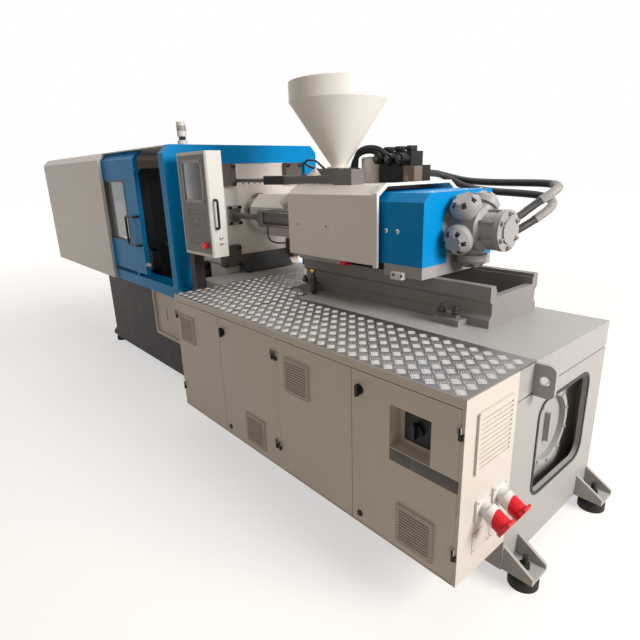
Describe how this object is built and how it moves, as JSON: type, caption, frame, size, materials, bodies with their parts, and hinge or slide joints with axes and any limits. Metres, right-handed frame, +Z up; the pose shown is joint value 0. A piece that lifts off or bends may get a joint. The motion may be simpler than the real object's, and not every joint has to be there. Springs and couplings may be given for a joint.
{
  "type": "injection moulding machine",
  "caption": "Horizontal plastic injection moulding machine: toggle clamp behind sliding guards, barrel with hopper and star motor, and a door-fronted cabinet along its base.",
  "frame": {"origin": "centre of the machine's outline on the floor", "axes": "+X along the machine towards its injection end, +Y away from the operator, +Z up"},
  "size_m": [4.97, 1.384, 1.85],
  "materials": {
    "blue_paint": "satin",
    "white_paint": "satin",
    "grey_paint": "satin",
    "dark_paint": "satin",
    "cabinet_paint": "satin",
    "motor_paint": "satin",
    "cream_paint": "satin",
    "tread_metal": "brushed",
    "machined_steel": "machined",
    "bright_rod": "polished",
    "cast_grey": "cast",
    "black_rubber": "matte",
    "black_plastic": "matte",
    "grey_plastic": "matte",
    "red_plastic": "gloss",
    "clear_window": "clear",
    "lamp_plastic": "gloss"
  },
  "bodies": {
    "machine": {"clamp_bed": "dark_paint", "injection_base": "grey_paint", "levelling_pads": "black_rubber", "bed_access_panel": "cabinet_paint", "cabinet_shell": "cabinet_paint", "control_gear": "grey_plastic", "tread_plates": "tread_metal", "power_sockets": "grey_plastic", "stationary_platen": "white_paint", "tie_bar_blocks": "machined_steel", "tie_bars": "bright_rod", "portal_guard": "blue_paint", "guard_rails": "blue_paint", "clamp_cover": "white_paint", "panel_post": "dark_paint", "light_tower": "lamp_plastic", "slide_casting": "cast_grey"},
    "tail": {"tailstock": "white_paint", "clamp_cylinder": "cast_grey"},
    "rear_upper": {"rear_link_upper": "cast_grey"},
    "front_upper": {"front_link_upper": "cast_grey"},
    "drive_upper": {"drive_link_upper": "cast_grey"},
    "rear_lower": {"rear_link_lower": "cast_grey"},
    "front_lower": {"front_link_lower": "cast_grey"},
    "drive_lower": {"drive_link_lower": "cast_grey"},
    "yoke": {"crosshead": "machined_steel"},
    "platen": {"moving_platen": "white_paint"},
    "ejector_plate": {"ejector": "machined_steel"},
    "operator_door": {"front_door": "blue_paint", "front_window": "clear_window", "front_handle": "black_plastic"},
    "back_door": {"rear_door": "blue_paint"},
    "door_1": {"cabinet_door_1": "cabinet_paint"},
    "door_2": {"cabinet_door_2": "cabinet_paint"},
    "door_3": {"cabinet_door_3": "cabinet_paint"},
    "door_4": {"cabinet_door_4": "cabinet_paint"},
    "lock_left": {"door_lock_left": "black_plastic"},
    "lock_right": {"door_lock_right": "black_plastic"},
    "knob": {"mains_knob": "black_plastic"},
    "lid_1": {"socket_lid_1": "red_plastic"},
    "lid_2": {"socket_lid_2": "red_plastic"},
    "panel": {"control_panel": "white_paint", "panel_fascia": "grey_plastic"},
    "stop_button": {"emergency_stop": "red_plastic"},
    "carriage": {"feed_block": "cast_grey", "barrel": "machined_steel", "barrel_guard": "white_paint", "injection_cover": "white_paint", "hopper": "cream_paint", "hopper_base": "cast_grey", "seat_cylinders": "cast_grey", "valve_block": "black_plastic", "canister": "lamp_plastic", "transducer": "machined_steel"},
    "gate": {"shutter_gate": "black_plastic"},
    "injection": {"thrust_plate": "cast_grey", "motor_cover": "blue_paint", "hydraulic_motor": "motor_paint", "motor_hoses": "black_rubber"},
    "plasticising_screw": {"screw": "machined_steel"}
  },
  "joints": [
    {"name": "mould_height", "type": "slide", "parent": "machine", "child": "tail", "axis": [1, 0, 0], "range_m": [0, 0.28]},
    {"name": "toggle", "type": "hinge", "parent": "tail", "child": "rear_upper", "pos_m": [-0.965, 0.111, 1.445], "axis": [0, -1, 0], "range_deg": [0, 77]},
    {"name": "front_upper_turn", "type": "hinge", "parent": "rear_upper", "child": "front_upper", "pos_m": [-0.92, 0.111, 1.23476], "axis": [0, -1, 0], "range_deg": [-154, 0]},
    {"name": "platen_level", "type": "hinge", "parent": "front_upper", "child": "platen", "pos_m": [-0.875, 0.111, 1.445], "axis": [0, -1, 0], "range_deg": [0, 77]},
    {"name": "drive_upper_turn", "type": "hinge", "parent": "rear_upper", "child": "drive_upper", "pos_m": [-0.9425, 0.111, 1.33988], "axis": [0, -1, 0], "range_deg": [-154, 0]},
    {"name": "yoke_level", "type": "hinge", "parent": "drive_upper", "child": "yoke", "pos_m": [-0.92, 0.111, 1.445], "axis": [0, -1, 0], "range_deg": [0, 77]},
    {"name": "rear_lower_turn", "type": "hinge", "parent": "tail", "child": "rear_lower", "pos_m": [-0.965, 0.111, 0.905], "axis": [0, -1, 0], "range_deg": [-77, 0]},
    {"name": "front_lower_turn", "type": "hinge", "parent": "rear_lower", "child": "front_lower", "pos_m": [-0.92, 0.111, 1.11524], "axis": [0, -1, 0], "range_deg": [0, 154]},
    {"name": "drive_lower_turn", "type": "hinge", "parent": "rear_lower", "child": "drive_lower", "pos_m": [-0.9425, 0.111, 1.01012], "axis": [0, -1, 0], "range_deg": [0, 154]},
    {"name": "ejector_stroke", "type": "slide", "parent": "platen", "child": "ejector_plate", "axis": [1, 0, 0], "range_m": [0, 0.08]},
    {"name": "operator_door_slide", "type": "slide", "parent": "machine", "child": "operator_door", "axis": [1, 0, 0], "range_m": [-0.38, 0.445]},
    {"name": "back_door_slide", "type": "slide", "parent": "machine", "child": "back_door", "axis": [1, 0, 0], "range_m": [-0.38, 0.445]},
    {"name": "door_1_hinge", "type": "hinge", "parent": "machine", "child": "door_1", "pos_m": [0.6075, -0.678, 0.4865], "axis": [0, 0, -1], "range_deg": [0, 90]},
    {"name": "door_2_hinge", "type": "hinge", "parent": "machine", "child": "door_2", "pos_m": [1.4725, -0.678, 0.4865], "axis": [0, 0, 1], "range_deg": [0, 90]},
    {"name": "door_3_hinge", "type": "hinge", "parent": "machine", "child": "door_3", "pos_m": [1.4975, -0.678, 0.4865], "axis": [0, 0, -1], "range_deg": [0, 90]},
    {"name": "door_4_hinge", "type": "hinge", "parent": "machine", "child": "door_4", "pos_m": [2.3625, -0.678, 0.4865], "axis": [0, 0, 1], "range_deg": [0, 90]},
    {"name": "lock_left_turn", "type": "hinge", "parent": "door_2", "child": "lock_left", "pos_m": [1.0795, -0.672, 0.72], "axis": [0, -1, 0], "range_deg": [0, 90]},
    {"name": "lock_right_turn", "type": "hinge", "parent": "door_4", "child": "lock_right", "pos_m": [1.9695, -0.672, 0.72], "axis": [0, -1, 0], "range_deg": [0, 90]},
    {"name": "mains_switch", "type": "hinge", "parent": "door_4", "child": "knob", "pos_m": [2.183, -0.629, 0.635], "axis": [0, -1, 0], "range_deg": [0, 90]},
    {"name": "lid_1_hinge", "type": "hinge", "parent": "machine", "child": "lid_1", "pos_m": [2.47397, -0.551, 0.41198], "axis": [0, -1, 0], "range_deg": [0, 100], "stiffness_Nm_per_rad": 0.06, "springref_deg": -34.38},
    {"name": "lid_2_hinge", "type": "hinge", "parent": "machine", "child": "lid_2", "pos_m": [2.47397, -0.454, 0.41198], "axis": [0, -1, 0], "range_deg": [0, 100], "stiffness_Nm_per_rad": 0.06, "springref_deg": -34.38},
    {"name": "panel_swivel", "type": "hinge", "parent": "machine", "child": "panel", "pos_m": [0.375, -0.408, 1.2], "axis": [0, 0, 1], "range_deg": [-75, 0]},
    {"name": "stop_press", "type": "slide", "parent": "panel", "child": "stop_button", "axis": [0, 1, 0], "range_m": [0, 0.006], "stiffness_N_per_m": 400, "springref_m": -0.003},
    {"name": "carriage_slide", "type": "slide", "parent": "machine", "child": "carriage", "axis": [1, 0, 0], "range_m": [0, 0.15]},
    {"name": "gate_slide", "type": "slide", "parent": "carriage", "child": "gate", "axis": [1, 0, 0], "range_m": [0, 0.08]},
    {"name": "injection_stroke", "type": "slide", "parent": "carriage", "child": "injection", "axis": [1, 0, 0], "range_m": [-0.13, 0]},
    {"name": "screw_turn", "type": "hinge", "parent": "injection", "child": "plasticising_screw", "pos_m": [1.7, 0.111, 1.175], "axis": [1, 0, 0], "continuous": true}
  ],
  "couplings": [
    {"joint": "front_upper_turn", "follows": "toggle", "ratio": -2},
    {"joint": "platen_level", "follows": "toggle", "ratio": 1},
    {"joint": "drive_upper_turn", "follows": "toggle", "ratio": -2},
    {"joint": "yoke_level", "follows": "toggle", "ratio": 1},
    {"joint": "rear_lower_turn", "follows": "toggle", "ratio": -1},
    {"joint": "front_lower_turn", "follows": "toggle", "ratio": 2},
    {"joint": "drive_lower_turn", "follows": "toggle", "ratio": 2}
  ]
}
